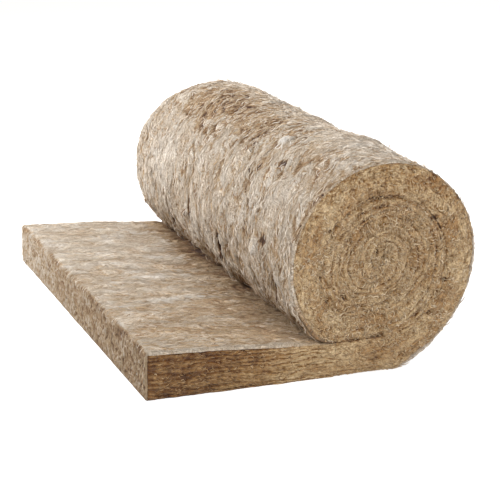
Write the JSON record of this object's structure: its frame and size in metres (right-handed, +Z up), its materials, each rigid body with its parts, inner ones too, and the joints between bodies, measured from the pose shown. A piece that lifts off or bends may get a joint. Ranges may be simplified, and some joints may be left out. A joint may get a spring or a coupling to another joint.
{
  "type": "partly unrolled mineral wool roll",
  "caption": "Mineral wool insulation blanket, wound into a roll that stands on its own unrolled flat end. Soft fibrous cut edges show the spiral laps.",
  "frame": {"origin": "on the floor, in the middle of the footprint's bounding box", "axes": "+Y along the roll's axis, +X along the blanket from its free end towards the roll, +Z up"},
  "size_m": [0.866, 1.2, 0.536],
  "materials": {
    "wool": "matte fibrous"
  },
  "bodies": {
    "root": {"wool_blanket": "wool"}
  },
  "joints": []
}
